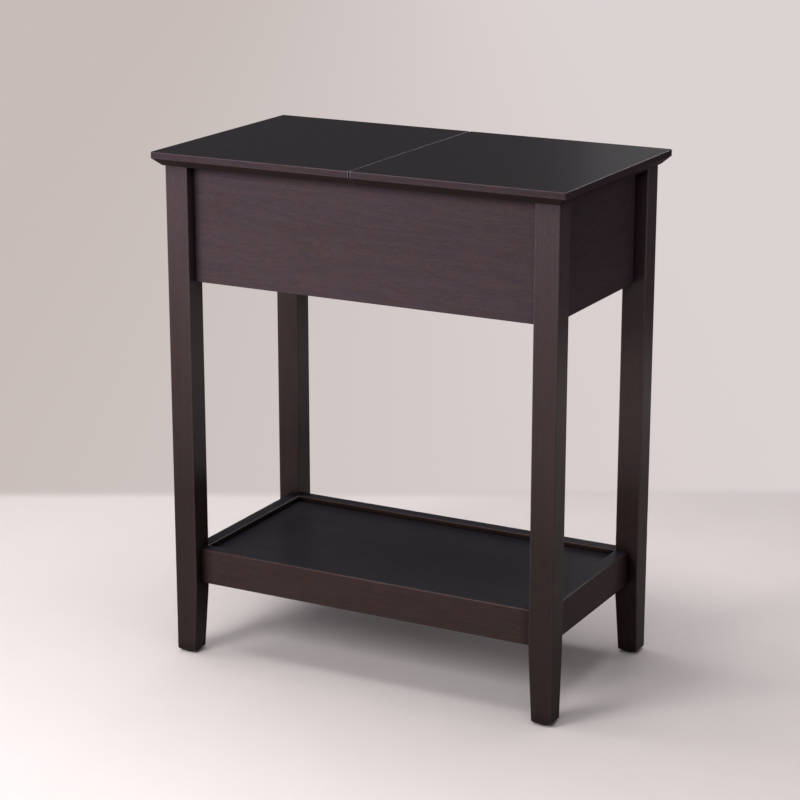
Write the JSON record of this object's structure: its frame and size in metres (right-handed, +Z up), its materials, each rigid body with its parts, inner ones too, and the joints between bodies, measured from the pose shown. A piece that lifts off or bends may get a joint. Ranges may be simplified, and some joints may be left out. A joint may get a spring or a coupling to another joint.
{
  "type": "lift top end table",
  "caption": "Narrow espresso end table: a storage box under a split top whose right half folds over on concealed hinges, square tapered legs and a recessed lower shelf.",
  "frame": {"origin": "on the floor, at the middle of the footprint: the bottom centre of the bounding box", "axes": "+Z up; +X along the long side, from the fixed half of the top to the lid; -Y is the front"},
  "size_m": [0.518, 0.296, 0.61],
  "materials": {
    "espresso_wood": "espresso stain under a satin lacquer",
    "espresso_top": "near-black espresso stain under a satin lacquer",
    "espresso_panel": "espresso-stained veneer under a satin lacquer",
    "espresso_batten": "espresso stain, matt",
    "beech": "plain beech dowel, fluted and glued in",
    "hinge_brass": "drawn brass",
    "hinge_steel": "stamped steel, nickel-plated",
    "zinc_steel": "bright zinc plate",
    "silicone": "clear soft silicone, frosted",
    "glide_plastic": "moulded dark brown plastic"
  },
  "bodies": {
    "frame": {"leg_front_left": "espresso_wood", "leg_front_right": "espresso_wood", "leg_back_right": "espresso_wood", "leg_back_left": "espresso_wood", "apron_front": "espresso_wood", "shelf_rail_front": "espresso_wood", "floor_cleat_front": "espresso_batten", "shelf_cleat_front": "espresso_batten", "apron_right": "espresso_wood", "shelf_rail_right": "espresso_wood", "floor_cleat_right": "espresso_batten", "shelf_cleat_right": "espresso_batten", "apron_back": "espresso_wood", "shelf_rail_back": "espresso_wood", "floor_cleat_back": "espresso_batten", "shelf_cleat_back": "espresso_batten", "apron_left": "espresso_wood", "shelf_rail_left": "espresso_wood", "floor_cleat_left": "espresso_batten", "shelf_cleat_left": "espresso_batten", "compartment_floor": "espresso_panel", "shelf_panel": "espresso_panel", "centre_rail": "espresso_batten", "top_cleat_front": "espresso_batten", "top_cleat_back": "espresso_batten", "top_fixed_panel": "espresso_top", "apron_dowels": "beech", "rail_dowels": "beech", "centre_rail_dowels": "beech", "top_screws": "zinc_steel", "hinge_barrels_fixed": "hinge_brass", "hinge_pins_fixed": "hinge_steel", "lid_bumpers": "silicone", "foot_glides": "glide_plastic"},
    "lid": {"top_lid_panel": "espresso_top", "hinge_barrels_lid": "hinge_brass", "hinge_pins_lid": "hinge_steel"},
    "fixed_links": {"hinge_links_fixed": "hinge_steel"},
    "lid_links": {"hinge_links_lid": "hinge_steel"}
  },
  "joints": [
    {"name": "lid_hinge", "type": "hinge", "parent": "frame", "child": "lid", "pos_m": [0, 0, 0.6104], "axis": [0, -1, 0], "range_deg": [0, 180]},
    {"name": "fixed_link_pivot", "type": "hinge", "parent": "frame", "child": "fixed_links", "pos_m": [-0.0025, 0, 0.6064], "axis": [0, -1, 0], "range_deg": [0, 102]},
    {"name": "lid_link_pivot", "type": "hinge", "parent": "lid", "child": "lid_links", "pos_m": [0.0025, 0, 0.6064], "axis": [0, 1, 0], "range_deg": [0, 102]}
  ],
  "couplings": [
    {"joint": "fixed_link_pivot", "follows": "lid_hinge", "ratio": 0.5665},
    {"joint": "lid_link_pivot", "follows": "lid_hinge", "ratio": 0.5665}
  ]
}
